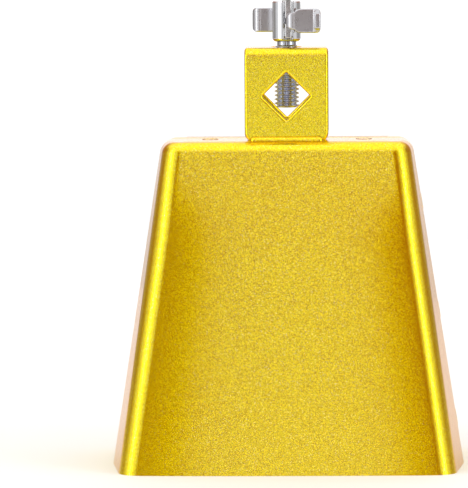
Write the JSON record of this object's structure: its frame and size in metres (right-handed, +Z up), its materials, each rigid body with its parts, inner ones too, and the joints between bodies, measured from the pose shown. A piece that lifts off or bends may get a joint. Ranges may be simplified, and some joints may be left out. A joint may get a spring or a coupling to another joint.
{
  "type": "cowbell",
  "caption": "Cowbell of two pressed steel half shells with a welded U bracket, diamond rod holes and a wing screw that clamps a rod.",
  "frame": {"origin": "middle of the mouth, on the plane of its rim", "axes": "+Z up from the mouth to the bracket and wing screw, -Y out of the striking face, +X to the right seen from the striking face"},
  "size_m": [0.11, 0.062, 0.1459],
  "materials": {
    "gold_paint": "gold metallic-flake paint under clear coat",
    "zinc_steel": "zinc plated, rolled thread",
    "bright_plate": "bright nickel plate",
    "braze": "bare braze metal"
  },
  "bodies": {
    "bell": {"front_shell": "gold_paint", "rear_shell": "gold_paint", "left_seam_welds": "gold_paint", "right_seam_welds": "gold_paint", "top_seam_welds": "gold_paint", "mount_bracket": "gold_paint", "front_foot_weld": "gold_paint", "rear_foot_weld": "gold_paint", "weld_nut": "gold_paint", "nut_tack_welds": "gold_paint"},
    "shank": {"threaded_shank": "zinc_steel"},
    "head": {"slotted_barrel": "bright_plate", "wing_plate": "bright_plate", "wing_braze": "braze"}
  },
  "joints": [
    {"name": "screw_travel", "type": "slide", "parent": "bell", "child": "shank", "axis": [0, 0, 1], "range_m": [-0.00125, 0.00875]},
    {"name": "screw_turn", "type": "hinge", "parent": "shank", "child": "head", "pos_m": [0, 0, 0.1321], "axis": [0, 0, 1], "range_deg": [-360, 2520]}
  ],
  "couplings": [
    {"joint": "screw_travel", "follows": "screw_turn", "m_per_rad": 0.00019894}
  ]
}
